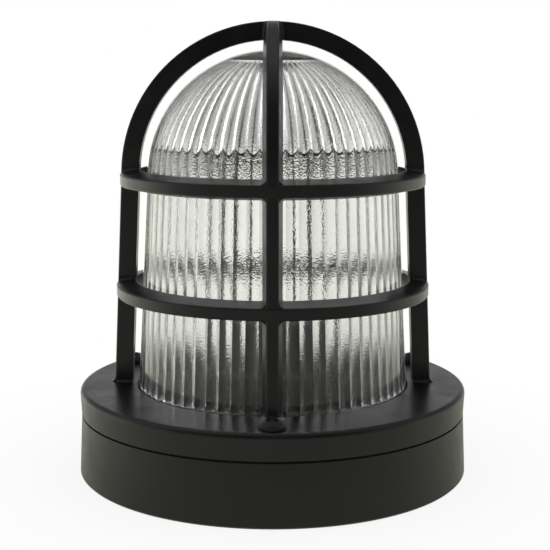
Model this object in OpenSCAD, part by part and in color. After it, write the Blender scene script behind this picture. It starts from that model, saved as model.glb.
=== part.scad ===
// Bulkhead light: a fluted glass globe behind a cast guard, on a round cast base.
// Origin at the centre of the flat back of the base, +Z points away from the wall.
// Sizes grow outwards from the globe, so that every piece follows the one inside it.

/* [Globe] */
// Outside diameter of the glass where it leaves the flange
globe_d = 118.4; // [90:0.2:140]
// Height of the glass above the flange
globe_h = 145.2; // [110:0.2:170]
// Draft of the glass wall, in degrees
globe_draft = 3; // [0.5:0.1:4]
// Wall of the glass in the valleys between the flutes
globe_wall = 3; // [2.5:0.1:5]
// Thickness of the glass at the crown
crown_t = 4; // [3:0.1:6]
// Number of flutes inside the glass
flute_n = 64; // [32:1:80]
// Height of the flutes on the straight wall
flute_h = 1; // [0.4:0.1:1.4]
// Height of the flutes in the dome
dome_flute_h = 0.5; // [0.2:0.05:0.7]
// Height above the dome's centre where the flutes of the wall end and those of the dome begin
dome_step_h = 11.4; // [4:0.2:20]
// Radius of the smooth cap inside the crown
cap_r = 16; // [8:0.5:24]
// Height above the flange where the flutes fade out
flute_foot = 3.5; // [2:0.5:14]
// Width of the lip of the glass rim
rim_lip = 5; // [3:0.1:8]
// Thickness of the glass rim
rim_t = 5; // [3:0.1:8]
// Thickness of the two gaskets on the glass rim
gasket_t = 1.25; // [0.8:0.05:2.5]

/* [Guard] */
// Radial gap between the glass and the ribs
globe_gap = 2.9; // [2:0.1:8]
// Radial depth of ribs and rings
rib_depth = 7.8; // [5:0.1:12]
// Width of ribs and rings on their outer face
rib_face_w = 4.8; // [3:0.1:8]
// Width of ribs and rings on their inner face
rib_root_w = 8; // [5:0.1:12]
// Bevel on the outer edges of ribs and rings
rib_edge = 0.4; // [0.2:0.1:1]
// How far the rings stand proud of the ribs, outside and inside
ring_proud = 0.25; // [0.1:0.05:0.6]
// Inner corner radius of the guard's windows
corner_r = 1.4; // [0.8:0.1:3]
// Fillet at the feet of the ribs
foot_r = 2; // [1:0.1:4]
// Draft of the ribs, in degrees
guard_draft = 2.64; // [0.5:0.1:4]
// Height above the dome's centre where the ribs turn into arches
spring_h = 0.7; // [0.5:0.1:6]
// Height of the lower ring above the flange
lower_ring_h = 42.7; // [25:0.1:60]
// Height of the upper ring above the dome's centre
upper_ring_h = -0.5; // [-12:0.1:0.5]

/* [Flange and base] */
// Thickness of the flange lip over the glass rim
lip_t = 3.5; // [2.5:0.1:6]
// Thickness of the flange plate outside the glass seat
plate_t = 6; // [4:0.1:7]
// Draft of the flange's outside, in degrees
flange_draft = 3; // [0.5:0.1:5]
// Radius of the flange's shoulder
shoulder_r = 2.2; // [1:0.1:4]
// Wall of the flange's skirt
skirt_t = 4.3; // [3:0.1:6]
// Height of the base up to its rim
base_h = 26; // [24:0.5:40]
// Draft of the base's outside wall, in degrees
base_draft = 2.6; // [0:0.1:4]
// Wall of the base at its rim
base_wall = 4; // [3.4:0.1:6]
// Thickness of the base floor
floor_t = 4; // [3.5:0.1:6]
// Chamfer round the back of the base
back_edge = 0.8; // [0.3:0.1:2]
// Seam between base and flange, filled by the seal
seam_gap = 0.8; // [0.5:0.1:2]
// Width of the seal in the seam
seal_w = 2.2; // [1.5:0.1:3]

/* [Guard screws] */
// Number of guard screws
screw_n = 3; // [3:1:4]
// Thread diameter of the guard screws
screw_d = 6; // [4:0.5:6]
// Head diameter of the guard screws
screw_head_d = 11.4; // [9:0.1:14]
// Head height of the guard screws
screw_head_h = 4.2; // [3:0.1:5]
// Length of the guard screws under the head
screw_len = 22; // [18:0.5:26]
// Diameter of the screw bosses
screw_boss_d = 11; // [9.5:0.1:13]
// From the screw circle to the outside of the rim
screw_to_rim = 8.3; // [7:0.1:12]
// Thickness of the retaining ring
retainer_t = 1.5; // [1:0.1:2.5]
// Thread diameter of the small screws
small_screw_d = 3; // [2.5:0.1:3]

/* [Lampholder] */
// Height of the bracket's bridge above its feet
bridge_h = 15; // [14:0.5:22]
// Inside span of the bracket
bracket_span = 56; // [50:1:64]
// Width of the bracket
bracket_w = 24; // [20:0.5:30]
// Thickness of the bracket
bracket_t = 1.5; // [1:0.1:2]
// Length of each foot of the bracket
bracket_foot = 13; // [12:0.5:16]
// Thread diameter of the nipple
nipple_d = 10; // [9:0.1:12]
// Bore of the nipple
nipple_bore = 7.6; // [6.6:0.1:8]
// Outside diameter of the lampholder
holder_d = 43; // [40:0.5:50]
// Height of the lampholder above the bridge
holder_h = 46; // [42:0.5:60]
// Inside diameter of the lamp thread
socket_d = 27; // [26.4:0.1:27.6]
// Length of the lamp thread
socket_l = 20; // [15:0.5:22]

/* [Wiring and fixing] */
// Distance between the two wall fixing holes
fixing_pitch = 83.5; // [70:0.5:100]
// Diameter of the wall fixing holes
fixing_d = 5.5; // [4:0.1:7]
// Bore of the cable grommet
cable_d = 9; // [6:0.5:11]
// Outside diameter of the leads
lead_d = 2.2; // [1.6:0.1:2.6]
// Pitch of the poles of the terminal block
pole_pitch = 10; // [9:0.1:12]
// Height of the terminal block
block_h = 14; // [13:0.1:16]

/* [Hidden] */
$fn = 96;

// Paint, metal and rubber colours
black_paint = [0.14, 0.14, 0.14];
black_rubber = [0.05, 0.05, 0.05];
phenolic = [0.1, 0.09, 0.09];
zinc = [0.75, 0.76, 0.78];
brass = [0.8, 0.65, 0.35];
clear = [0.85, 0.9, 0.9, 0.4];
cream = [0.85, 0.83, 0.76];

// Radial clearances: thread in its tapped hole, shank in a through hole, piece in its seat
thread_gap = 0.1;
hole_gap = 0.3;
seat_gap = 0.3;
// Radial gap round the glass rim and between the glass and the flange's lip
glass_gap = 0.4;
// Overshoot of a cut past a face, floor left under a blind hole, room past the tip of a screw
over = 1;
hole_floor = 1.2;
tip_room = 2;
// Thread that a small screw has in the piece that it is driven into
small_grip = 5;

// Height stack
flange_bot = base_h + seam_gap;
flange_h = lip_t + 2*gasket_t + rim_t;
flange_top = flange_bot + flange_h;
rim_bot = flange_bot + gasket_t;
rim_top = rim_bot + rim_t;
globe_top = flange_top + globe_h;

// Radius chain from the glass outwards
globe_r = globe_d/2;
glass_rim_r = globe_r + rim_lip;
seat_r = glass_rim_r + glass_gap;
rib_in_r = globe_r + globe_gap;
foot_out_r = rib_in_r + rib_depth;
head_gap = 0.4;
screw_r = foot_out_r + screw_head_d/2 + head_gap;
boss_r = screw_boss_d/2;
rim_r = screw_r + screw_to_rim;
back_r = rim_r + (base_h - back_edge)*tan(base_draft);
boss_gap = 0.5;
boss_drop = 0.5;
retainer_r = screw_r - boss_r - boss_gap;
seat_wall_r = retainer_r + 2*boss_gap;

// Glass: outer wall, dome that touches it, and the inner dome
function globe_out(z) = globe_r - (z - flange_top)*tan(globe_draft);
function globe_in(z) = globe_out(z) - globe_wall;
dome_r = cos(globe_draft)*(globe_r - globe_h*tan(globe_draft))/(1 - sin(globe_draft));
dome_z = globe_top - dome_r;
step_z = dome_z + dome_step_h;
step_r = globe_in(step_z);
crown_z = globe_top - crown_t;
inner_dome_r = (pow(step_r, 2) + pow(crown_z - step_z, 2))/(2*(crown_z - step_z));
inner_dome_z = crown_z - inner_dome_r;

// Guard surface at a height, its main levels, and the side draft of ribs and rings
spring_z = dome_z + spring_h;
lower_ring_z = flange_top + lower_ring_h;
upper_ring_z = dome_z + upper_ring_h;
function guard_r(z) = foot_out_r - (z - flange_top)*tan(guard_draft);
arch_r = guard_r(spring_z);
side_slope = (rib_root_w - rib_face_w)/2/rib_depth;
corner_c = rib_root_w/2 + corner_r;
arch_skin = 0.03;

// Lampholder stack on the base floor
pad_h = 3;
pad_d = 12;
foot_z = floor_t + pad_h;
bridge_z = foot_z + bridge_h;
foot_y = bracket_span/2 + bracket_t + bracket_foot/2;
holder_r = holder_d/2;
holder_top = bridge_z + holder_h;
holder_wall = 2.6;
neck_r = holder_r - holder_wall - thread_gap;
cap_h = 12;
neck_z = bridge_z + cap_h;
neck_l = 8;
insert_r = neck_r - holder_wall - thread_gap;
insert_rise = 2;
insert_t = 8;
insert_bot = neck_z + insert_rise;
insert_top = insert_bot + insert_t;
insert_screw_x = 9;
nipple_len = 12.5;
nipple_rise = 5;
nipple_top = bridge_z + nipple_rise;
nut_h = 3;
washer_t = 0.8;
shell_t = 0.6;

// Terminal block beside the bracket, earth terminal opposite
block_pos = [40, 40];
block_w = 13;
block_l = 3*pole_pitch;
wire_h = 5.5;
wire_z = floor_t + wire_h;
wire_room = 0.8;
wire_hole_d = lead_d + wire_room;
clamp_size = [9, 5, 7.5];
clamp_screw_x = 2.6;
grub_lip = 0.4;
grub_head_d = small_screw_d + 2*grub_lip;
clamp_cover = 1.2;
block_low_h = clamp_size.z + clamp_cover;
lead_turn = [8, 12, 0];
lead_rise = 14;
earth_pos = [-40, 40];
earth_boss_d = 11;
earth_screw_d = 4;

// Grommet in the base floor
grommet_wall = 4.4;
grommet_r = cable_d/2 + grommet_wall;
grommet_lip = 2;
lip_recess = 1.6;

// Angles of the guard screws, first one at the front, and of the retaining screws between them
function screw_angle(i) = -90 + 360*i/screw_n;
function retainer_angle(i) = screw_angle(i) + 180/screw_n;
retainer_screw_r = (seat_r + retainer_r)/2;

module round_copies(n, first, r) {
    for (i = [0:n - 1]) rotate([0, 0, first + 360*i/n]) translate([r, 0, 0]) children();
}

// Flat ring between two radii
module ring(r_in, r_out, z, h) {
    translate([0, 0, z]) difference() {
        cylinder(h = h, r = r_out);
        translate([0, 0, -over]) cylinder(h = h + 2*over, r = r_in);
    }
}

// Pan-head screw with its head seated at z = 0, shank down, cross recess in the head
module pan_screw(d, head_d, head_h, len) {
    edge_h = 0.3*head_h;
    crown = head_h - edge_h;
    crown_r = (pow(head_d/2, 2) + pow(crown, 2))/(2*crown);
    recess_w = 0.16*head_d;
    recess_l = 0.56*head_d;
    recess_t = 0.5*head_h;
    difference() {
        union() {
            rotate_extrude() intersection() {
                square([head_d/2, head_h]);
                translate([0, head_h - crown_r]) circle(r = crown_r);
            }
            translate([0, 0, -len]) cylinder(h = len + edge_h/2, d = d, $fn = 32);
        }
        for (a = [0, 90]) rotate([0, 0, a + 45]) {
            translate([-recess_l/2, -recess_w/2, head_h - recess_t]) cube([recess_l, recess_w, head_h]);
        }
    }
}

// Base: drafted bowl with screw bosses, pads for the bracket and the earth boss
module base_housing() {
    cavity_r = rim_r - base_wall;
    inner_draft = 1;
    floor_r = cavity_r - (base_h - floor_t)*tan(inner_draft);
    tapped_depth = screw_len - flange_h - seam_gap + tip_room;
    color(black_paint) difference() {
        union() {
            rotate_extrude($fn = 180) polygon([[0, 0], [back_r - back_edge, 0], [back_r, back_edge],
                [rim_r, base_h], [cavity_r, base_h], [floor_r, floor_t], [0, floor_t]]);
            round_copies(screw_n, screw_angle(0), screw_r) translate([0, 0, floor_t/2]) {
                cylinder(h = base_h - floor_t/2 - boss_drop, r = boss_r);
            }
            for (s = [-1, 1]) translate([0, s*foot_y, floor_t/2]) {
                cylinder(h = foot_z - floor_t/2, d = pad_d);
            }
            translate([earth_pos.x, earth_pos.y, floor_t/2]) {
                cylinder(h = foot_z - floor_t/2, d = earth_boss_d);
            }
        }
        round_copies(screw_n, screw_angle(0), screw_r) translate([0, 0, base_h - tapped_depth]) {
            cylinder(h = tapped_depth + over, d = screw_d + 2*thread_gap);
        }
        for (s = [-1, 1]) {
            translate([0, s*foot_y, hole_floor]) cylinder(h = foot_z, d = small_screw_d + 2*thread_gap);
            translate([s*fixing_pitch/2, 0, -over]) cylinder(h = floor_t + 2*over, d = fixing_d);
        }
        translate([earth_pos.x, earth_pos.y, hole_floor]) {
            cylinder(h = foot_z, d = earth_screw_d + 2*thread_gap);
        }
        translate([block_pos.x, block_pos.y + pole_pitch/2, hole_floor]) {
            cylinder(h = floor_t, d = small_screw_d + 2*thread_gap);
        }
        translate([0, 0, -over]) cylinder(h = floor_t + 2*over, r = grommet_r + thread_gap);
        translate([0, 0, -over]) cylinder(h = over + lip_recess, r = grommet_r + grommet_lip + thread_gap);
    }
}

module base_seal() {
    seal_in = rim_r - base_wall + 2*seat_gap;
    color(black_rubber) ring(seal_in, seal_in + seal_w, base_h, seam_gap);
}

// Rubber inlet, snapped into the floor from the back
module cable_grommet() {
    inner_t = 2;
    lip_r = grommet_r + grommet_lip;
    recess = 0.3;
    color(black_rubber) rotate_extrude() polygon([[cable_d/2, recess], [lip_r, recess], [lip_r, lip_recess],
        [grommet_r, lip_recess], [grommet_r, floor_t], [lip_r, floor_t],
        [lip_r - 1, floor_t + inner_t], [cable_d/2, floor_t + inner_t]]);
}

// Points of a round bend
function arc(c, r, a0, a1, n = 5) = [for (i = [0:n]) let (a = a0 + (a1 - a0)*i/n) c + r*[cos(a), sin(a)]];

// Half of the bracket's folded outline, from the middle of the bridge to the end of a foot
function bracket_side() = let (t = bracket_t, r = 1.5, y = bracket_span/2) concat(
    [[0, bridge_z]], arc([y - r, bridge_z - r - t], r + t, 90, 0),
    arc([y + t + r, foot_z + t + r], r, 180, 270), [[y + t + bracket_foot, foot_z + t]],
    [[y + t + bracket_foot, foot_z]], arc([y + t + r, foot_z + t + r], r + t, 270, 180),
    arc([y - r, bridge_z - r - t], r, 0, 90), [[0, bridge_z - t]]);

module lampholder_bracket() {
    color(zinc) difference() {
        for (s = [0, 180]) rotate([90, 0, s + 90]) {
            translate([0, 0, -bracket_w/2]) linear_extrude(bracket_w) polygon(bracket_side());
        }
        cylinder(h = bridge_z + over, d = nipple_d + 2*hole_gap);
        for (s = [-1, 1]) translate([0, s*foot_y, 0]) {
            cylinder(h = bridge_z/2, d = small_screw_d + 2*hole_gap);
        }
    }
}

module bracket_screws() {
    color(zinc) for (s = [-1, 1]) translate([0, s*foot_y, foot_z + bracket_t]) {
        pan_screw(small_screw_d, 2*small_screw_d, 0.7*small_screw_d, bracket_t + small_grip);
    }
}

// Threaded tube through the bridge, with nut and washer below it
module nipple() {
    color(zinc) ring(nipple_bore/2, nipple_d/2, nipple_top - nipple_len, nipple_len);
}

module nipple_nut() {
    across = 1.4*nipple_d;
    color(zinc) translate([0, 0, bridge_z - bracket_t - washer_t - nut_h]) difference() {
        cylinder(h = nut_h, d = across/cos(30), $fn = 6);
        translate([0, 0, -over]) cylinder(h = nut_h + 2*over, d = nipple_d + 2*thread_gap);
    }
}

module lock_washer() {
    color(zinc) ring(nipple_d/2 + thread_gap, 0.75*nipple_d, bridge_z - bracket_t - washer_t, washer_t);
}

// Lampholder cap: cone on the bridge, ledge for the insert, threaded neck for the skirt
module lampholder_cap() {
    cap_foot_r = 0.62*holder_r;
    floor_cap = 3;
    throat_r = insert_r - 2;
    color(phenolic) rotate_extrude() polygon([[nipple_d/2 + thread_gap, bridge_z], [cap_foot_r, bridge_z],
        [holder_r, neck_z - 2], [holder_r, neck_z], [neck_r, neck_z], [neck_r, neck_z + neck_l],
        [insert_r + thread_gap, neck_z + neck_l], [insert_r + thread_gap, insert_bot],
        [throat_r, insert_bot], [cap_foot_r - 2, bridge_z + floor_cap],
        [nipple_d/2 + thread_gap, bridge_z + floor_cap]]);
}

// Insulating disc with the lamp contacts, its two terminals on the underside
module lampholder_insert() {
    color(cream) difference() {
        translate([0, 0, insert_bot]) cylinder(h = insert_t, r = insert_r);
        for (s = [-1, 1]) translate([s*insert_screw_x, 0, insert_bot - over]) {
            cylinder(h = over + small_grip + tip_room/2, d = small_screw_d + 2*thread_gap);
        }
    }
}

module insert_screws() {
    color(brass) for (s = [-1, 1]) translate([s*insert_screw_x, 0, insert_bot]) mirror([0, 0, 1]) {
        pan_screw(small_screw_d, 1.8*small_screw_d, 0.7*small_screw_d, small_grip);
    }
}

// Skirt screwed over the neck, its ledge holds the insert down
module lampholder_skirt() {
    ledge_t = 2.5;
    ledge_r = insert_r - 1;
    mouth_r = socket_d/2 + shell_t + 1.4;
    grip_n = 24;
    color(phenolic) difference() {
        rotate_extrude() polygon([[neck_r + thread_gap, neck_z], [holder_r, neck_z],
            [holder_r, neck_z + 10], [holder_r - 1, neck_z + 11], [holder_r - 1.6, holder_top - 1.5],
            [holder_r - 3, holder_top], [mouth_r, holder_top], [mouth_r, insert_top + ledge_t],
            [ledge_r, insert_top + ledge_t], [ledge_r, insert_top], [insert_r + thread_gap, insert_top],
            [insert_r + thread_gap, neck_z + neck_l + 0.2], [neck_r + thread_gap, neck_z + neck_l + 0.2]]);
        round_copies(grip_n, 0, holder_r + 0.6) translate([0, 0, neck_z - 1]) {
            cylinder(h = 11, r = 1.1, $fn = 24);
        }
    }
}

// Screw shell for the lamp, flanged on the insert
module screw_shell() {
    shell_r = socket_d/2;
    flange_hole = 0.62*shell_r;
    color(brass) rotate_extrude() polygon([[flange_hole, insert_top], [shell_r + shell_t, insert_top],
        [shell_r + shell_t, insert_top + socket_l], [shell_r, insert_top + socket_l],
        [shell_r, insert_top + shell_t], [flange_hole, insert_top + shell_t]]);
}

// Spring tongue in the middle of the shell
module centre_contact() {
    tongue_w = 6;
    t = 0.6;
    rise = 5;
    color(brass) translate([0, tongue_w/2, insert_top]) rotate([90, 0, 0]) linear_extrude(tongue_w) {
        polygon([[-6, 0], [0, 0], [0, t], [-3, t], [3, rise], [5, rise], [5, rise + t],
            [2.6, rise + t], [-4.4, t], [-6, t]]);
    }
}

module at_block() {
    translate([block_pos.x, block_pos.y, floor_t]) children();
}

module at_poles() {
    at_block() for (i = [-1:1]) translate([0, i*pole_pitch, 0]) children();
}

// Three-pole block: a pocket for each clamp, wire holes through it, a fixing hole between poles
module terminal_block() {
    screw_way = grub_head_d + 2*seat_gap;
    pocket = clamp_size + [2, 2, 2]*seat_gap;
    tower_in = 1;
    tower_w = 0.72*pole_pitch;
    color(cream) difference() {
        at_block() {
            translate([-block_w/2, -block_l/2, 0]) cube([block_w, block_l, block_low_h]);
            for (i = [-1:1]) translate([-block_w/2 + tower_in, i*pole_pitch - tower_w/2, 0]) {
                cube([block_w - 2*tower_in, tower_w, block_h]);
            }
        }
        at_poles() {
            translate([-pocket.x/2, -pocket.y/2, -over]) cube([pocket.x, pocket.y, pocket.z + over]);
            translate([-block_w, 0, wire_z - floor_t]) rotate([0, 90, 0]) {
                cylinder(h = 2*block_w, d = wire_hole_d + 2*seat_gap, $fn = 32);
            }
            for (s = [-1, 1]) translate([s*clamp_screw_x, 0, 0]) {
                cylinder(h = block_h + over, d = screw_way, $fn = 32);
            }
        }
        at_block() translate([0, pole_pitch/2, 0]) {
            translate([0, 0, -over]) cylinder(h = block_h, d = small_screw_d + 2*hole_gap, $fn = 32);
            translate([0, 0, block_low_h]) {
                cylinder(h = block_h, d = 2*small_screw_d + 2*hole_gap, $fn = 32);
            }
        }
    }
}

module terminal_clamps() {
    color(brass) at_poles() difference() {
        translate([-clamp_size.x/2, -clamp_size.y/2, seat_gap]) cube(clamp_size);
        translate([-clamp_size.x, 0, wire_z - floor_t]) rotate([0, 90, 0]) {
            cylinder(h = 2*clamp_size.x, d = wire_hole_d, $fn = 32);
        }
        for (s = [-1, 1]) translate([s*clamp_screw_x, 0, wire_z - floor_t]) {
            cylinder(h = clamp_size.z, d = small_screw_d + 2*thread_gap, $fn = 32);
        }
    }
}

// Grub screws of the clamps, tips on the wires, heads down in the block
module terminal_screws() {
    tip_z = wire_z - floor_t + lead_d/2 + seat_gap;
    head_z = clamp_size.z + 2*seat_gap;
    head_h = 2.4;
    slot_w = 0.8;
    slot_t = 1;
    color(zinc) at_poles() for (s = [-1, 1]) translate([s*clamp_screw_x, 0, 0]) difference() {
        union() {
            translate([0, 0, tip_z]) cylinder(h = head_z + head_h/2 - tip_z, d = small_screw_d, $fn = 32);
            translate([0, 0, head_z]) cylinder(h = head_h, d = grub_head_d, $fn = 32);
        }
        translate([-grub_head_d, -slot_w/2, head_z + head_h - slot_t]) {
            cube([2*grub_head_d, slot_w, slot_t + over]);
        }
    }
}

module terminal_fixing_screw() {
    floor_grip = 2;
    color(zinc) at_block() translate([0, pole_pitch/2, block_low_h]) {
        pan_screw(small_screw_d, 2*small_screw_d, 0.7*small_screw_d, block_low_h + floor_grip);
    }
}

module earth_screw() {
    color(brass) translate([earth_pos.x, earth_pos.y, foot_z + washer_t]) {
        pan_screw(earth_screw_d, 2*earth_screw_d, 0.65*earth_screw_d, washer_t + small_grip);
    }
}

module earth_washer() {
    color(brass) translate([earth_pos.x, earth_pos.y, 0]) {
        ring(earth_screw_d/2 + thread_gap, 1.2*earth_screw_d, foot_z, washer_t);
    }
}

// Round tube swept along a route, with ring corners turned about the route's own direction
function along(p, i) = let (a = p[max(i - 1, 0)], b = p[min(i + 1, len(p) - 1)]) (b - a)/norm(b - a);
module tube(route, d, sides = 8) {
    across = [1, -1, 0]/sqrt(2);
    n = len(route);
    points = [for (i = [0:n - 1])
        let (t = along(route, i), side = cross(t, across), u = side/norm(side), v = cross(u, t))
        for (k = [0:sides - 1]) route[i] + d/2*(cos(360*k/sides)*u + sin(360*k/sides)*v)];
    sides_faces = [for (i = [0:n - 2]) for (k = [0:sides - 1]) let (l = (k + 1) % sides)
        [i*sides + k, (i + 1)*sides + k, (i + 1)*sides + l, i*sides + l]];
    ends = [[for (k = [0:sides - 1]) k], [for (k = [0:sides - 1]) n*sides - 1 - k]];
    polyhedron(points, concat(sides_faces, ends), convexity = 4);
}

// Point on a cubic curve
function curve(p, t) = pow(1 - t, 3)*p[0] + 3*pow(1 - t, 2)*t*p[1] + 3*(1 - t)*t*t*p[2] + t*t*t*p[3];

// Lead from a pole, under the bridge, up through the nipple to a terminal of the insert
function lead_route(pole, side) = let (
    start = [block_pos.x + clamp_size.x/2 - lead_d/2, block_pos.y + pole*pole_pitch, wire_z],
    leave = [block_pos.x - block_w/2 - lead_d, start.y, wire_z],
    x = side*nipple_bore/4,
    low = nipple_top - nipple_len - lead_d/2,
    enter = [x, 0, low],
    turn = leave - lead_turn,
    rise = [x, lead_rise, wire_z],
    bends = 9,
    tip = [side*(insert_screw_x - 0.9*small_screw_d - lead_d/2 - seat_gap), 0,
        insert_bot - lead_d/2 - seat_gap])
    concat([start, leave],
        [for (i = [1:bends]) curve([leave, turn, rise, enter], i/bends)],
        [[x, 0, (low + nipple_top)/2], [x, 0, nipple_top], [x, 0, nipple_top + lead_d], tip]);

module live_lead() {
    color([0.45, 0.25, 0.15]) tube(lead_route(-1, 1), lead_d);
}

module neutral_lead() {
    color([0.2, 0.35, 0.6]) tube(lead_route(0, -1), lead_d);
}

// Cavity of the glass: fluted wall, fluted dome, smooth cap. Points run ring by ring.
flute_pts = 4;
ring_n = flute_n*flute_pts;
dome_rows = 7;
function ridge(i) = sin(180*(i % flute_pts)/flute_pts);
function at_angle(i, r, z) = [r*cos(360*i/ring_n), r*sin(360*i/ring_n), z];
function wall_ring(z, h) = [for (i = [0:ring_n - 1]) at_angle(i, globe_in(z) - h*ridge(i), z)];
function dome_point(i, j) = let (
    sphere_r = inner_dome_r - dome_flute_h*ridge(i),
    start = asin((step_r - flute_h*ridge(i))/sphere_r),
    end = asin(cap_r/inner_dome_r),
    a = start + (end - start)*j/dome_rows,
    r = j == dome_rows ? inner_dome_r : inner_dome_r - dome_flute_h*ridge(i)*sin(a)/sin(start))
    at_angle(i, r*sin(a), inner_dome_z + r*cos(a));
function cap_ring(share) = let (a = share*asin(cap_r/inner_dome_r))
    [for (i = [0:ring_n - 1]) at_angle(i, inner_dome_r*sin(a), inner_dome_z + inner_dome_r*cos(a))];

module globe_cavity() {
    wall_rings = concat(wall_ring(rim_bot - over, 0), wall_ring(flange_top + 0.4*flute_foot, 0),
        wall_ring(flange_top + flute_foot, flute_h));
    dome_rings = [for (j = [0:dome_rows]) for (i = [0:ring_n - 1]) dome_point(i, j)];
    points = concat(wall_rings, dome_rings, cap_ring(0.5), [[0, 0, crown_z]]);
    rows = (len(points) - 1)/ring_n;
    skin = [for (j = [0:rows - 2]) for (i = [0:ring_n - 1])
        let (a = j*ring_n, b = a + ring_n, k = (i + 1) % ring_n)
        for (f = [[a + i, b + i, b + k], [a + i, b + k, a + k]]) f];
    last = (rows - 1)*ring_n;
    crown = [for (i = [0:ring_n - 1]) [last + i, last + ring_n, last + (i + 1) % ring_n]];
    mouth = [[for (i = [0:ring_n - 1]) i]];
    polyhedron(points, concat(skin, crown, mouth), convexity = 6);
}

// Pressed globe: smooth outside of cone and dome, rim at the foot, fluted cavity
module glass_globe() {
    blend = 0.03;
    rim_edge = 0.6;
    color(clear) difference() {
        rotate_extrude($fn = 180) union() {
            polygon([[0, rim_bot], [glass_rim_r - rim_edge, rim_bot], [glass_rim_r, rim_bot + rim_edge],
                [glass_rim_r, rim_top - rim_edge], [glass_rim_r - rim_edge, rim_top],
                [globe_out(rim_top), rim_top], [globe_out(dome_z), dome_z], [0, dome_z]]);
            intersection() {
                translate([0, dome_z]) circle(r = dome_r + blend, $fn = 180);
                translate([0, dome_z - 4]) square([globe_d, globe_d]);
            }
        }
        globe_cavity();
    }
}

module globe_gasket_upper() {
    color(black_rubber) ring(globe_out(rim_top) + seat_gap, glass_rim_r, rim_top, gasket_t);
}

module globe_gasket_lower() {
    color(black_rubber) ring(globe_in(rim_bot) + seat_gap, glass_rim_r, flange_bot, gasket_t);
}

// Flat ring under the glass rim, screwed to the flange from below
module glass_retainer() {
    color(zinc) difference() {
        ring(globe_in(rim_bot), retainer_r, flange_bot - retainer_t, retainer_t);
        round_copies(screw_n, retainer_angle(0), retainer_screw_r) {
            translate([0, 0, flange_bot - 2*retainer_t]) {
                cylinder(h = 3*retainer_t, d = small_screw_d + 2*hole_gap, $fn = 32);
            }
        }
    }
}

retainer_screw_len = retainer_t + small_grip;
module retainer_screws() {
    color(zinc) round_copies(screw_n, retainer_angle(0), retainer_screw_r) {
        translate([0, 0, flange_bot - retainer_t]) mirror([0, 0, 1]) {
            pan_screw(small_screw_d, 1.9*small_screw_d, 0.7*small_screw_d, retainer_screw_len);
        }
    }
}

// Section of ribs and rings, grown by a skin: x is the depth under the outer face, y the width
module rib_section(skin = 0, depth = rib_depth) {
    face = rib_face_w/2 + skin;
    flat = face - rib_edge;
    flank = face + rib_edge*side_slope;
    root = rib_face_w/2 + depth*side_slope + skin;
    polygon([[-depth - skin, -root], [-depth - skin, root], [skin - rib_edge, flank],
        [skin, flat], [skin, -flat], [skin - rib_edge, -flank]]);
}

// Straight rib on the +X side, leaning with the draft
module straight_rib() {
    sink = 2;
    lap = 0.5;
    rib_len = (spring_z - flange_top)/cos(guard_draft) + sink + lap;
    translate([foot_out_r, 0, flange_top]) rotate([0, -guard_draft, 0]) {
        translate([0, 0, -sink]) linear_extrude(rib_len) rib_section();
    }
}

// Half-round arch over the X axis, a skin larger than the ribs that it stands on
module arch() {
    translate([0, 0, spring_z]) rotate([90, 0, 0]) rotate_extrude(angle = 180, $fn = 180) {
        translate([arch_r, 0]) rib_section(arch_skin);
    }
}

module guard_ring(z) {
    translate([0, 0, z]) rotate_extrude($fn = 180) translate([guard_r(z) + ring_proud, 0]) {
        rib_section(0, rib_depth + 2*ring_proud);
    }
}

// Cone that rounds a window corner: narrow at the inner face, wide at the outer face
module corner_cone(depth_out) {
    ease = 0.12;
    r_in = corner_r + ease - over*side_slope;
    r_out = corner_r + ease + (rib_depth + over)*side_slope;
    translate([depth_out - rib_depth - over, 0, 0]) rotate([0, 90, 0]) {
        cylinder(h = rib_depth + 2*over, r1 = r_in, r2 = r_out, $fn = 48);
    }
}

// Web in the four corners where a rib crosses a ring on the +X side
module corner_web(z) {
    r = guard_r(z);
    skin = rib_edge + 0.05;
    inset = 0.5;
    half = asin(corner_c/r);
    difference() {
        rotate([0, 0, -half]) rotate_extrude(angle = 2*half, $fn = 180) {
            translate([r - rib_depth + inset, z - corner_c]) {
                square([rib_depth - inset - skin, 2*corner_c]);
            }
        }
        for (s = [-1, 1], t = [-1, 1]) translate([0, s*corner_c, z + t*corner_c]) corner_cone(r);
    }
}

// Web in the corners where the arches cross, with a small flat on the crossing
module crown_web() {
    top = spring_z + arch_r + arch_skin;
    skin = 0.4;
    top_skin = rib_edge + skin;
    flat_h = 0.05;
    difference() {
        translate([-corner_c, -corner_c, top - rib_depth + skin]) {
            cube([2*corner_c, 2*corner_c, rib_depth - skin - top_skin]);
        }
        for (s = [-1, 1], t = [-1, 1]) translate([s*corner_c, t*corner_c, 0]) {
            rotate([0, -90, 0]) corner_cone(top);
        }
    }
    translate([0, 0, top - rib_depth/2]) cylinder(h = rib_depth/2 + flat_h, r = 0.6*rib_face_w);
}

// Fillets at the foot of a rib on the +X side: one outside, one on each flank
module rib_foot() {
    sink = 1;
    skin = 0.1;
    inset = 0.3;
    x_in = foot_out_r - rib_depth + inset;
    flank = atan(side_slope);
    mid_w = (rib_root_w + rib_face_w)/4;
    centre_x = foot_out_r + foot_r + skin/2;
    fillet_w = rib_face_w - 2*rib_edge - 2*skin;
    translate([0, fillet_w/2, flange_top]) rotate([90, 0, 0]) {
        linear_extrude(fillet_w) difference() {
            translate([foot_out_r - sink, -sink]) square([sink + foot_r, sink + foot_r]);
            translate([centre_x, foot_r + skin/2]) circle(r = foot_r + skin, $fn = 48);
        }
    }
    difference() {
        translate([x_in, -mid_w - foot_r, flange_top - sink]) {
            cube([foot_out_r - x_in - 2*rib_edge, 2*mid_w + 2*foot_r, sink + foot_r]);
        }
        for (s = [-1, 1]) translate([foot_out_r - rib_depth/2, s*(mid_w + foot_r), flange_top + foot_r]) {
            rotate([0, 0, -s*flank]) rotate([0, 90, 0]) {
                cylinder(h = 4*rib_depth, r = foot_r + skin, center = true, $fn = 48);
            }
        }
    }
}

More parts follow.
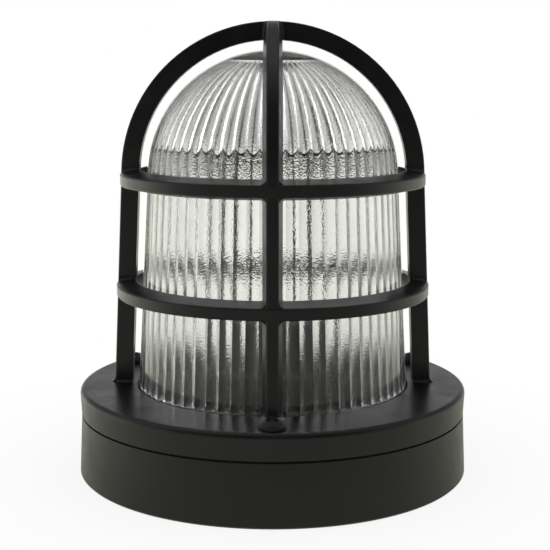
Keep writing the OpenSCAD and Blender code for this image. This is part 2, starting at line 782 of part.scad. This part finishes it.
// Flange: rounded shoulder, drafted skirt, relief ring underneath, stepped seat for the glass
module flange() {
    wide_r = rim_r + (flange_h - shoulder_r)*tan(flange_draft);
    lip_r = globe_out(rim_top) + glass_gap;
    lip_edge = 0.3;
    shoulder = arc([wide_r - shoulder_r, flange_top - shoulder_r], shoulder_r, 90, 0, 8);
    rotate_extrude($fn = 180) polygon(concat(
        [[lip_r, flange_top - lip_t], [lip_r, flange_top - lip_edge], [lip_r + lip_edge, flange_top]],
        shoulder,
        [[rim_r, flange_bot], [rim_r - skirt_t, flange_bot], [rim_r - skirt_t, flange_top - plate_t],
            [seat_wall_r, flange_top - plate_t], [seat_wall_r, flange_bot], [seat_r, flange_bot],
            [seat_r, flange_top - lip_t]]));
    round_copies(screw_n, screw_angle(0), screw_r) translate([0, 0, flange_bot + boss_drop]) {
        cylinder(h = flange_h - plate_t/2 - boss_drop, r = boss_r);
    }
}

// Ribs, rings and arches, cut away at their feet where a screw head needs room
module lattice() {
    difference() {
        union() {
            guard_ring(lower_ring_z);
            guard_ring(upper_ring_z);
            for (a = [0:90:270]) rotate([0, 0, a]) {
                straight_rib();
                rib_foot();
                corner_web(lower_ring_z);
                corner_web(upper_ring_z);
            }
            for (a = [0, 90]) rotate([0, 0, a]) arch();
            crown_web();
        }
        round_copies(screw_n, screw_angle(0), screw_r) translate([0, 0, flange_top - plate_t/2]) {
            cylinder(h = plate_t/2 + 2*screw_head_h, d = screw_head_d + head_gap);
        }
    }
}

seal_t = 1.5;
screw_seal_w = 1.6;
seal_r = screw_d/2 + hole_gap + screw_seal_w;
module cage_guard() {
    color(black_paint) difference() {
        union() {
            flange();
            lattice();
        }
        round_copies(screw_n, screw_angle(0), screw_r) {
            translate([0, 0, flange_bot - over]) cylinder(h = flange_h + 2*over, d = screw_d + 2*hole_gap);
            translate([0, 0, flange_top - seal_t]) cylinder(h = seal_t + over, r = seal_r + thread_gap);
        }
        round_copies(screw_n, retainer_angle(0), retainer_screw_r) translate([0, 0, flange_bot - over]) {
            cylinder(h = over + small_grip + hole_gap, d = small_screw_d + 2*thread_gap, $fn = 32);
        }
    }
}

module cage_screws() {
    color(black_paint) round_copies(screw_n, screw_angle(0), screw_r) translate([0, 0, flange_top]) {
        pan_screw(screw_d, screw_head_d, screw_head_h, screw_len);
    }
}

module screw_seals() {
    color(black_rubber) round_copies(screw_n, screw_angle(0), screw_r) {
        ring(screw_d/2 + thread_gap, seal_r, flange_top - seal_t, seal_t);
    }
}

base_housing();
base_seal();
cable_grommet();
lampholder_bracket();
bracket_screws();
nipple();
nipple_nut();
lock_washer();
lampholder_cap();
lampholder_insert();
lampholder_skirt();
screw_shell();
centre_contact();
insert_screws();
terminal_block();
terminal_clamps();
terminal_screws();
terminal_fixing_screw();
earth_screw();
earth_washer();
live_lead();
neutral_lead();
glass_globe();
globe_gasket_upper();
globe_gasket_lower();
glass_retainer();
retainer_screws();
cage_guard();
cage_screws();
screw_seals();
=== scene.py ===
import math

import bmesh
import bpy
from mathutils import Euler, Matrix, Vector


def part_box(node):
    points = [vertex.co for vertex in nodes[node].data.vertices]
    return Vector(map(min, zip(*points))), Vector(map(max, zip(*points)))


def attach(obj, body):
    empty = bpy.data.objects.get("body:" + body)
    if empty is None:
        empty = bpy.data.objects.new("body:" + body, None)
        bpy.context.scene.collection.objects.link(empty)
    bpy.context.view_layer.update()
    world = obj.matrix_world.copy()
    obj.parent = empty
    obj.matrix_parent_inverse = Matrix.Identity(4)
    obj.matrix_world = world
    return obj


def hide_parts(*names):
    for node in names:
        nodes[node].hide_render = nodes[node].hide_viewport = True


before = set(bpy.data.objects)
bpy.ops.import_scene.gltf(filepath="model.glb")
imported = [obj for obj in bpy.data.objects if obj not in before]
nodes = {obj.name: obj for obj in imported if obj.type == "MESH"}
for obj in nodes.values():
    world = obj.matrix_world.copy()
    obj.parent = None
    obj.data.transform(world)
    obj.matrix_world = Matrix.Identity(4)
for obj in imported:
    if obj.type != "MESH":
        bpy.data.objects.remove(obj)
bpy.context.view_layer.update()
MM = 0.001

# Camera of the photograph: place, downward pitch, roll and lens on a square frame
CAMERA_PLACE = Vector((0.88, -540.5, 171.9)) * MM
CAMERA_PITCH = math.radians(9.09)
CAMERA_ROLL = math.radians(-0.075)
CAMERA_LENS = 81.37
CAMERA_SENSOR = 36.0
CAMERA_CLIP = 10.0 * MM

# Radius within which the base casting is bare, and the width of the paint's edge
BARE_R = 80.0 * MM
BARE_EDGE = 0.5 * MM

# Height of a guard screw's head over the flange
SCREW_HEAD_H = 4.2 * MM

# Pressed glass globe: outside and walls as in the part's own solid, inside as the photograph shows it
GLOBE_R = 59.2 * MM
GLOBE_DRAFT = math.radians(3.0)
GLOBE_WALL = 3.0 * MM
CROWN_T = 4.0 * MM
RIM_T = 5.0 * MM
RIM_EDGE = 0.6 * MM
FLUTES = 64
FLUTE_POINTS = 10
FLUTE_H = 0.8 * MM
DOME_FLUTE_H = 1.15 * MM
FLUTE_SPREAD = 0.2
UNEVEN_RATE = 7.3
UNEVEN_POWER = 1.3
DOME_STEP = 106.1 * MM
LEDGE = 0.55 * MM
LEDGE_DROP = 1.1 * MM
SCALLOP = 0.35
FLUTE_START = -0.4 * MM
FLUTE_FULL = 2.4 * MM
CAP_R = 18.6 * MM
CAP_RISE = 0.6 * MM
CAP_EDGE = 0.6 * MM

# Rows of its mesh: feet of the flutes, wall, dome, cap, crown and outside wall
FOOT_ROWS = 8
FOOT_CURVE = 1.5
WALL_ROWS = 5
WALL_STOP = DOME_STEP - 6.0 * MM
DOME_ROWS = 24
CAP_SHARES = (1.0, 0.6, 0.2)
CROWN_ROWS = 25
CROWN_START = 0.01
OUTSIDE_ROWS = 7
SHARP_ANGLE = math.radians(24.0)

# Floor disc; a level that changes over it is (first level, last level, first place, last place)
WHITE = (1.0, 1.0, 1.0, 1.0)
FLOOR_R = 4.0
FLOOR_SIDES = 96
FLOOR_GAP = 0.2 * MM
FLOOR_GREY = (0.86, 0.86, 0.86, 1.0)
FLOOR_MIRRORED = (1.0, 1.0, 0.84, 1.0)
FLOOR_REFRACTED = (1.0, 1.0, 0.95, 1.0)
SEEN_OUTWARDS = (0.86, 1.0, 0.09, 0.2)
# Painted shadow round the object: the floor as mirrored or seen through the glass is darker near it
PAINTED_SHADE_OUTWARDS = (0.75, 1.0, 0.09, 0.24)
# Painted light on the floor as mirrored or seen through the glass: brighter towards the back, dimmer to the
# right
PAINTED_LIGHT_TO_BACK = (0.25, 1.0, -0.3, 0.36)
PAINTED_LIGHT_TO_RIGHT = (1.0, 0.66, -0.3, 0.3)

# How bright floor and tent are in reflections and through the glass
LAMPS = 1.5
THROUGH = 1.2

# Light tent as (angle from straight behind in degrees, level), from the viewer's side round to the back
TENT = ((135.0, 0.045), (110.0, 0.3), (90.0, 0.8), (72.0, 0.9), (60.0, 0.65), (45.0, 0.45),
        (25.0, 0.5), (12.0, 0.85), (0.0, 0.9))

# The same as the glass lets it through
GLOW = ((135.0, 0.3), (110.0, 1.4), (90.0, 2.1), (60.0, 2.0), (45.0, 1.6), (25.0, 0.6),
        (12.0, 0.35), (0.0, 0.35))

# Its share by height of the direction, as the paint mirrors it and as the glass lets it through
MIRRORED = ((0.03, 1.0), (0.45, 0.3), (0.65, 0.3), (1.0, 0.5))
REFRACTED = ((0.02, 1.0), (0.06, 0.3), (0.12, 0.3), (0.2, 1.0), (0.6, 1.0), (1.0, 0.7))

# Its share from left to right
TENT_TO_RIGHT = (1.0, 0.78, -0.5, 0.5)


# Shader nodes

def new_material(name):
    material = bpy.data.materials.new(name)
    material.use_nodes = True
    tree = material.node_tree
    return material, tree, tree.nodes["Principled BSDF"]


def add(tree, kind, inputs=None, **settings):
    node = tree.nodes.new(kind)
    for key, value in settings.items():
        setattr(node, key, value)
    for key, value in (inputs or {}).items():
        node.inputs[key].default_value = value
    return node


def feed(tree, value, socket):
    """Links another node's output to a socket, or sets a plain value on it."""
    if isinstance(value, bpy.types.NodeSocket):
        tree.links.new(value, socket)
    else:
        socket.default_value = value


def combine(tree, operation, first, second):
    node = add(tree, "ShaderNodeMath", operation=operation)
    feed(tree, first, node.inputs[0])
    feed(tree, second, node.inputs[1])
    return node.outputs[0]


def times(tree, first, second):
    return combine(tree, "MULTIPLY", first, second)


def position(tree, kind):
    """A texture coordinate, whole and by axis."""
    place = add(tree, "ShaderNodeTexCoord").outputs[kind]
    axes = add(tree, "ShaderNodeSeparateXYZ")
    tree.links.new(place, axes.inputs[0])
    return place, axes.outputs


def length(tree, vector):
    node = add(tree, "ShaderNodeVectorMath", operation="LENGTH")
    tree.links.new(vector, node.inputs[0])
    return node.outputs["Value"]


def noise(tree, scale, detail=3.0, roughness=0.55):
    place = add(tree, "ShaderNodeTexCoord")
    texture = add(tree, "ShaderNodeTexNoise", {"Scale": scale, "Detail": detail, "Roughness": roughness})
    tree.links.new(place.outputs["Object"], texture.inputs["Vector"])
    return texture.outputs["Fac"]


def spread(tree, value, low, high, start=0.3, end=0.7):
    ramp = add(tree, "ShaderNodeMapRange",
               {"From Min": start, "From Max": end, "To Min": low, "To Max": high})
    tree.links.new(value, ramp.inputs["Value"])
    return ramp.outputs["Result"]


def two_tone(tree, value, dark, light, start=0.3, end=0.7):
    ramp = add(tree, "ShaderNodeValToRGB")
    ramp.color_ramp.elements[0].position = start
    ramp.color_ramp.elements[1].position = end
    ramp.color_ramp.elements[0].color = (*dark, 1.0)
    ramp.color_ramp.elements[1].color = (*light, 1.0)
    tree.links.new(value, ramp.inputs["Fac"])
    return ramp.outputs["Color"]


def levels(tree, value, stops):
    """Grey level along a value, from (place, level) pairs in rising order."""
    ramp = add(tree, "ShaderNodeValToRGB")
    marks = ramp.color_ramp.elements
    marks.remove(marks[1])
    for k, (place, level) in enumerate(stops):
        mark = marks.new(place) if k else marks[0]
        mark.position = place
        mark.color = (level, level, level, 1.0)
    tree.links.new(value, ramp.inputs["Fac"])
    return ramp.outputs["Color"]


def bump(tree, value, distance, strength=1.0, under=None):
    node = add(tree, "ShaderNodeBump", {"Distance": distance, "Strength": strength})
    tree.links.new(value, node.inputs["Height"])
    if under is not None:
        tree.links.new(under, node.inputs["Normal"])
    return node.outputs["Normal"]


def rounded_edges(tree, radius):
    return add(tree, "ShaderNodeBevel", {"Radius": radius}, samples=4).outputs["Normal"]


def mixed(tree, share, under, over):
    """One shader, with a share of it replaced by another."""
    mix = add(tree, "ShaderNodeMixShader")
    tree.links.new(share, mix.inputs["Fac"])
    tree.links.new(under, mix.inputs[1])
    tree.links.new(over, mix.inputs[2])
    return mix.outputs[0]


def by_ray(tree, share, usual, other, kind="FLOAT"):
    """A value for most rays, and another for those that the share picks out."""
    mix = add(tree, "ShaderNodeMix", data_type=kind)
    tree.links.new(share, mix.inputs["Factor"])
    feed(tree, usual, mix.inputs["A"])
    feed(tree, other, mix.inputs["B"])
    return mix.outputs["Result"]


# Materials

def coat(tree, shader, cloud, dark, light, rough_low, rough_high):
    tree.links.new(two_tone(tree, cloud, dark, light), shader.inputs["Base Color"])
    tree.links.new(spread(tree, cloud, rough_low, rough_high), shader.inputs["Roughness"])


def black_paint():
    material, tree, shader = new_material("satin_black_paint")
    coat(tree, shader, noise(tree, 90.0, 4.0), (0.0040, 0.0044, 0.0050), (0.0060, 0.0065, 0.0072),
         0.30, 0.40)
    edges = rounded_edges(tree, 0.5 * MM)
    cast = bump(tree, noise(tree, 260.0, 2.0), 0.03 * MM, 0.6, edges)
    tree.links.new(bump(tree, noise(tree, 1500.0, 2.0), 0.02 * MM, 0.5, cast), shader.inputs["Normal"])
    return material


def cast_base():
    """Painted outside, bare grey casting inside its wall."""
    material = PAINT.copy()
    material.name = "part_painted_casting"
    tree = material.node_tree
    bare = add(tree, "ShaderNodeBsdfPrincipled", {"Specular IOR Level": 0.3})
    coat(tree, bare, noise(tree, 150.0, 4.0), (0.2, 0.2, 0.165), (0.3, 0.3, 0.25), 0.5, 0.7)
    tree.links.new(bump(tree, noise(tree, 900.0), 0.05 * MM), bare.inputs["Normal"])
    place, axes = position(tree, "Object")
    flat = add(tree, "ShaderNodeVectorMath", {1: (1.0, 1.0, 0.0)}, operation="MULTIPLY")
    tree.links.new(place, flat.inputs[0])
    within = spread(tree, length(tree, flat.outputs["Vector"]), 1.0, 0.0, BARE_R, BARE_R + BARE_EDGE)
    above = spread(tree, axes["Z"], 0.0, 1.0, BARE_EDGE, 2.0 * BARE_EDGE)
    paint = tree.nodes["Principled BSDF"].outputs["BSDF"]
    look = mixed(tree, times(tree, within, above), paint, bare.outputs["BSDF"])
    tree.links.new(look, tree.nodes["Material Output"].inputs["Surface"])
    return material


def glass(name, rough_low, rough_high, grain_h, haze):
    """Clear glass with a fine grain; haze is the share that scatters instead of letting light through."""
    material, tree, shader = new_material(name)
    shader.inputs["Base Color"].default_value = (0.975, 0.985, 0.97, 1.0)
    shader.inputs["Transmission Weight"].default_value = 1.0 - haze
    shader.inputs["IOR"].default_value = 1.5
    tree.links.new(spread(tree, noise(tree, 500.0, 3.0), rough_low, rough_high), shader.inputs["Roughness"])
    wave = bump(tree, noise(tree, 120.0, 2.0), 0.005 * MM)
    grain = noise(tree, 1400.0, 1.0, 0.5)
    tree.links.new(bump(tree, grain, grain_h, 1.0, wave), shader.inputs["Normal"])
    return material


def rubber():
    material, tree, shader = new_material("black_rubber")
    coat(tree, shader, noise(tree, 400.0), (0.008, 0.008, 0.008), (0.016, 0.016, 0.016), 0.6, 0.8)
    tree.links.new(bump(tree, noise(tree, 1200.0), 0.03 * MM), shader.inputs["Normal"])
    return material


def metal(name, dark, light, rough_low, rough_high):
    material, tree, shader = new_material(name)
    shader.inputs["Metallic"].default_value = 1.0
    coat(tree, shader, noise(tree, 300.0, 5.0), dark, light, rough_low, rough_high)
    tree.links.new(bump(tree, noise(tree, 1800.0), 0.01 * MM), shader.inputs["Normal"])
    return material


def moulded(name, dark, light, rough_low, rough_high):
    material, tree, shader = new_material(name)
    coat(tree, shader, noise(tree, 220.0, 4.0), dark, light, rough_low, rough_high)
    tree.links.new(bump(tree, noise(tree, 900.0), 0.02 * MM), shader.inputs["Normal"])
    return material


PAINT = black_paint()
CAST = cast_base()
GLASS = glass("pressed_glass_outside", 0.0, 0.03, 0.001 * MM, 0.0)
PRESSED = glass("pressed_glass_inside", 0.0, 0.06, 0.12 * MM, 0.06)
RUBBER = rubber()
ZINC = metal("zinc_plated_steel", (0.52, 0.53, 0.55), (0.68, 0.69, 0.7), 0.25, 0.42)
BRASS = metal("plain_brass", (0.52, 0.36, 0.13), (0.68, 0.5, 0.22), 0.22, 0.4)
PHENOLIC = moulded("black_phenolic", (0.008, 0.007, 0.007), (0.016, 0.014, 0.013), 0.3, 0.45)
CERAMIC = moulded("cream_ceramic", (0.62, 0.58, 0.48), (0.74, 0.71, 0.62), 0.5, 0.65)
POLYAMIDE = moulded("natural_polyamide", (0.66, 0.64, 0.55), (0.78, 0.76, 0.68), 0.4, 0.55)
BROWN = moulded("brown_insulation", (0.11, 0.045, 0.02), (0.16, 0.07, 0.035), 0.4, 0.5)
BLUE = moulded("blue_insulation", (0.03, 0.09, 0.28), (0.05, 0.13, 0.36), 0.4, 0.5)

FINISHES = {
    PAINT: ["cage_guard", "cage_screws"],
    CAST: ["base_housing"],
    RUBBER: ["base_seal", "cable_grommet", "globe_gasket_upper", "globe_gasket_lower", "screw_seals"],
    ZINC: ["lampholder_bracket", "bracket_screws", "nipple", "nipple_nut", "lock_washer",
           "glass_retainer", "retainer_screws", "terminal_screws", "terminal_fixing_screw"],
    BRASS: ["screw_shell", "centre_contact", "insert_screws", "terminal_clamps", "earth_screw",
            "earth_washer"],
    PHENOLIC: ["lampholder_cap", "lampholder_skirt"],
    CERAMIC: ["lampholder_insert"],
    POLYAMIDE: ["terminal_block"],
    BROWN: ["live_lead"],
    BLUE: ["neutral_lead"],
    GLASS: ["glass_globe"],
}


def finish_nodes():
    for material, names in FINISHES.items():
        for name in names:
            mesh = nodes[name].data
            mesh.materials.clear()
            mesh.materials.append(material)


# Fluted glass

def smooth_rise(t):
    t = min(max(t, 0.0), 1.0)
    return math.sqrt(1.0 - (1.0 - t) ** 2)


class Globe:
    """Sizes of the globe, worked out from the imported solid's box and the values above."""

    def __init__(self):
        low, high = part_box("glass_globe")
        self.bottom = low.z
        self.top = high.z
        self.rim_r = high.x
        self.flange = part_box("cage_screws")[1].z - SCREW_HEAD_H
        self.dome_r = math.cos(GLOBE_DRAFT) * (GLOBE_R - (self.top - self.flange) * math.tan(GLOBE_DRAFT))
        self.dome_r /= 1.0 - math.sin(GLOBE_DRAFT)
        self.dome_z = self.top - self.dome_r
        self.step_z = self.flange + DOME_STEP
        self.step_r = self.inner(self.step_z)
        crown_z = self.top - CROWN_T
        rise = crown_z - self.step_z
        self.ledge_r = self.step_r + LEDGE
        self.inner_dome_r = (self.ledge_r ** 2 + rise ** 2) / (2.0 * rise)
        self.inner_dome_z = crown_z - self.inner_dome_r
        self.cap_z = self.inner_dome_z + math.sqrt(self.inner_dome_r ** 2 - CAP_R ** 2) + CAP_RISE

    def outer(self, z):
        return GLOBE_R - (z - self.flange) * math.tan(GLOBE_DRAFT)

    def inner(self, z):
        return self.outer(z) - GLOBE_WALL


def ridge(i):
    """Height of the flutes round the globe, each one pressed a little differently."""
    uneven = 1.0 + FLUTE_SPREAD * math.sin(UNEVEN_RATE * (i // FLUTE_POINTS) ** UNEVEN_POWER)
    return uneven * math.sin(math.pi * (i % FLUTE_POINTS) / FLUTE_POINTS)


def globe_rows(globe):
    """Rows of (radius, height) functions from the bottom of the cavity over the crown down the outside."""
    rows = []

    def plain(r, z):
        rows.append(lambda i: (r, z))

    def wall(z, height):
        rows.append(lambda i: (globe.inner(z) - height * ridge(i), z))

    def dome_start(i):
        sphere = globe.inner_dome_r - DOME_FLUTE_H * ridge(i)
        return math.asin((globe.ledge_r - SCALLOP * FLUTE_H * ridge(i)) / sphere)

    def wall_top(i):
        sphere = globe.inner_dome_r - DOME_FLUTE_H * ridge(i)
        z = globe.inner_dome_z + sphere * math.cos(dome_start(i))
        return globe.inner(z) - FLUTE_H * ridge(i), z - LEDGE_DROP

    def dome(share):
        def point(i):
            start = dome_start(i)
            end = math.asin((CAP_R + 2.0 * CAP_EDGE) / globe.inner_dome_r)
            a = start + (end - start) * share
            r = globe.inner_dome_r - DOME_FLUTE_H * ridge(i) * math.sin(a) / math.sin(start)
            return r * math.sin(a), globe.inner_dome_z + r * math.cos(a)
        rows.append(point)

    plain(globe.inner(globe.bottom), globe.bottom)
    for k in range(FOOT_ROWS + 1):
        t = (k / FOOT_ROWS) ** FOOT_CURVE
        wall(globe.flange + FLUTE_START + (FLUTE_FULL - FLUTE_START) * t, FLUTE_H * smooth_rise(t))
    for k in range(1, WALL_ROWS + 1):
        wall(globe.flange + FLUTE_FULL + (WALL_STOP - FLUTE_FULL) * k / WALL_ROWS, FLUTE_H)
    rows.append(wall_top)
    crease = len(rows)
    for k in range(DOME_ROWS + 1):
        dome(k / DOME_ROWS)
    plain(CAP_R + CAP_EDGE, globe.cap_z - CAP_RISE)
    for share in CAP_SHARES:
        plain(CAP_R * share, globe.cap_z)
    crown_rows = len(rows)
    for k in range(CROWN_ROWS + 1):
        a = (math.pi / 2.0 - GLOBE_DRAFT) * max(k / CROWN_ROWS, CROWN_START)
        plain(globe.dome_r * math.sin(a), globe.dome_z + globe.dome_r * math.cos(a))
    low_wall = globe.bottom + RIM_T
    for k in range(1, OUTSIDE_ROWS + 1):
        z = globe.dome_z + (low_wall - globe.dome_z) * k / OUTSIDE_ROWS
        plain(globe.outer(z), z)
    plain(globe.rim_r - RIM_EDGE, low_wall)
    plain(globe.rim_r, low_wall - RIM_EDGE)
    plain(globe.rim_r, globe.bottom + RIM_EDGE)
    plain(globe.rim_r - RIM_EDGE, globe.bottom)
    return rows, crease, crown_rows


def globe_mesh():
    """Closed mesh, with slot 0 on the outside and slot 1 inside."""
    globe = Globe()
    rows, crease, crown = globe_rows(globe)
    around = FLUTES * FLUTE_POINTS
    mesh = bmesh.new()
    rings = []
    for row in rows:
        ring = []
        for i in range(around):
            r, z = row(i)
            a = 2.0 * math.pi * i / around
            ring.append(mesh.verts.new((r * math.cos(a), r * math.sin(a), z)))
        rings.append(ring)

    def band(low, high, slot):
        for i in range(around):
            k = (i + 1) % around
            mesh.faces.new((low[i], low[k], high[k], high[i])).material_index = slot

    def pole(ring, z, slot):
        top = mesh.verts.new((0.0, 0.0, z))
        for i in range(around):
            mesh.faces.new((ring[i], ring[(i + 1) % around], top)).material_index = slot

    for j in range(len(rings) - 1):
        if j + 1 != crown:
            band(rings[j], rings[j + 1], int(j + 1 < crown))
    band(rings[-1], rings[0], 0)
    pole(rings[crown - 1], globe.cap_z, 1)
    pole(rings[crown], globe.top, 0)
    bmesh.ops.recalc_face_normals(mesh, faces=mesh.faces)
    for face in mesh.faces:
        face.smooth = True
    for edge in mesh.edges:
        edge.smooth = edge.calc_face_angle() < SHARP_ANGLE
    for i in range(around):
        mesh.edges.get((rings[crease][i], rings[crease][(i + 1) % around])).smooth = False
    data = bpy.data.meshes.new("fluted_globe")
    mesh.to_mesh(data)
    mesh.free()
    return data


def fluted_globe():
    data = globe_mesh()
    data.materials.append(GLASS)
    data.materials.append(PRESSED)
    piece = bpy.data.objects.new("fluted_globe", data)
    bpy.context.scene.collection.objects.link(piece)
    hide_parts("glass_globe")
    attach(piece, "root")


# Stage

def floor():
    """White for the camera but for the shade round the object; mirrored or through the glass it glows with
    painted light, brighter towards the back and dimmer to the right, and with a painted shadow round the
    object."""
    bpy.ops.mesh.primitive_circle_add(vertices=FLOOR_SIDES, radius=FLOOR_R, fill_type="NGON",
                                      location=(0.0, 0.0, -FLOOR_GAP))
    plane = bpy.context.object
    plane.name = "floor"
    material, tree, shader = new_material("white_floor")
    shader.inputs["Base Color"].default_value = FLOOR_GREY
    shader.inputs["Roughness"].default_value = 0.9
    shader.inputs["Specular IOR Level"].default_value = 0.0
    rays = add(tree, "ShaderNodeLightPath").outputs
    place, axes = position(tree, "Object")
    away = length(tree, place)
    seen = times(tree, spread(tree, away, *SEEN_OUTWARDS), rays["Is Camera Ray"])
    # Painted light: the floor's glow is brighter towards the back and dimmer to the right
    painted_light_across = times(tree, spread(tree, axes["Y"], *PAINTED_LIGHT_TO_BACK), spread(tree, axes["X"], *PAINTED_LIGHT_TO_RIGHT))
    # Painted shadow: the floor's glow is darker near the object
    painted_shade_near = spread(tree, away, *PAINTED_SHADE_OUTWARDS)

    def shone(share, under, colour, strength):
        light = add(tree, "ShaderNodeEmission", {"Color": colour})
        feed(tree, strength, light.inputs["Strength"])
        return mixed(tree, share, under, light.outputs["Emission"])

    look = shone(seen, shader.outputs["BSDF"], WHITE, 1.0)
    for ray, colour, level in (("Is Glossy Ray", FLOOR_MIRRORED, LAMPS),
                               ("Is Transmission Ray", FLOOR_REFRACTED, THROUGH)):
        look = shone(rays[ray], look, colour, times(tree, times(tree, painted_light_across, level), painted_shade_near))
    tree.links.new(look, tree.nodes["Material Output"].inputs["Surface"])
    plane.data.materials.append(material)


def surroundings():
    """Plain white light on the surfaces; reflections and the glass show a tent with bright sides,
    dark towards the viewer and dimmer above."""
    world = bpy.data.worlds.new("light_tent")
    bpy.context.scene.world = world
    world.use_nodes = True
    tree = world.node_tree
    back = tree.nodes["Background"].inputs
    rays = add(tree, "ShaderNodeLightPath").outputs
    glass_ray = rays["Is Transmission Ray"]
    axes = position(tree, "Generated")[1]
    half = add(tree, "ShaderNodeMath", {1: 0.5, 2: 0.5}, operation="MULTIPLY_ADD")
    tree.links.new(axes["Y"], half.inputs[0])

    def by_angle(stops):
        places = [(0.5 + 0.5 * math.cos(math.radians(angle)), level) for angle, level in stops]
        return levels(tree, half.outputs[0], places)

    around = by_ray(tree, glass_ray, by_angle(TENT), by_angle(GLOW), "RGBA")
    rise = by_ray(tree, glass_ray, levels(tree, axes["Z"], MIRRORED), levels(tree, axes["Z"], REFRACTED))
    lamps = by_ray(tree, glass_ray, LAMPS, THROUGH)
    tent = add(tree, "ShaderNodeVectorMath", operation="SCALE")
    tree.links.new(around, tent.inputs[0])
    tree.links.new(times(tree, rise, spread(tree, axes["X"], *TENT_TO_RIGHT)), tent.inputs["Scale"])
    plain = combine(tree, "ADD", rays["Is Camera Ray"], rays["Is Diffuse Ray"])
    tree.links.new(by_ray(tree, plain, tent.outputs[0], WHITE, "RGBA"), back["Color"])
    tree.links.new(by_ray(tree, plain, lamps, 1.0), back["Strength"])


def camera():
    data = bpy.data.cameras.new("camera")
    data.lens = CAMERA_LENS
    data.sensor_width = CAMERA_SENSOR
    data.clip_start = CAMERA_CLIP
    eye = bpy.data.objects.new("camera", data)
    eye.location = CAMERA_PLACE
    eye.rotation_euler = Euler((math.pi / 2.0 - CAMERA_PITCH, CAMERA_ROLL, 0.0))
    bpy.context.scene.collection.objects.link(eye)
    bpy.context.scene.camera = eye


finish_nodes()
fluted_globe()
floor()
surroundings()
camera()
bpy.context.scene.view_settings.view_transform = "Standard"

bpy.context.view_layer.update()
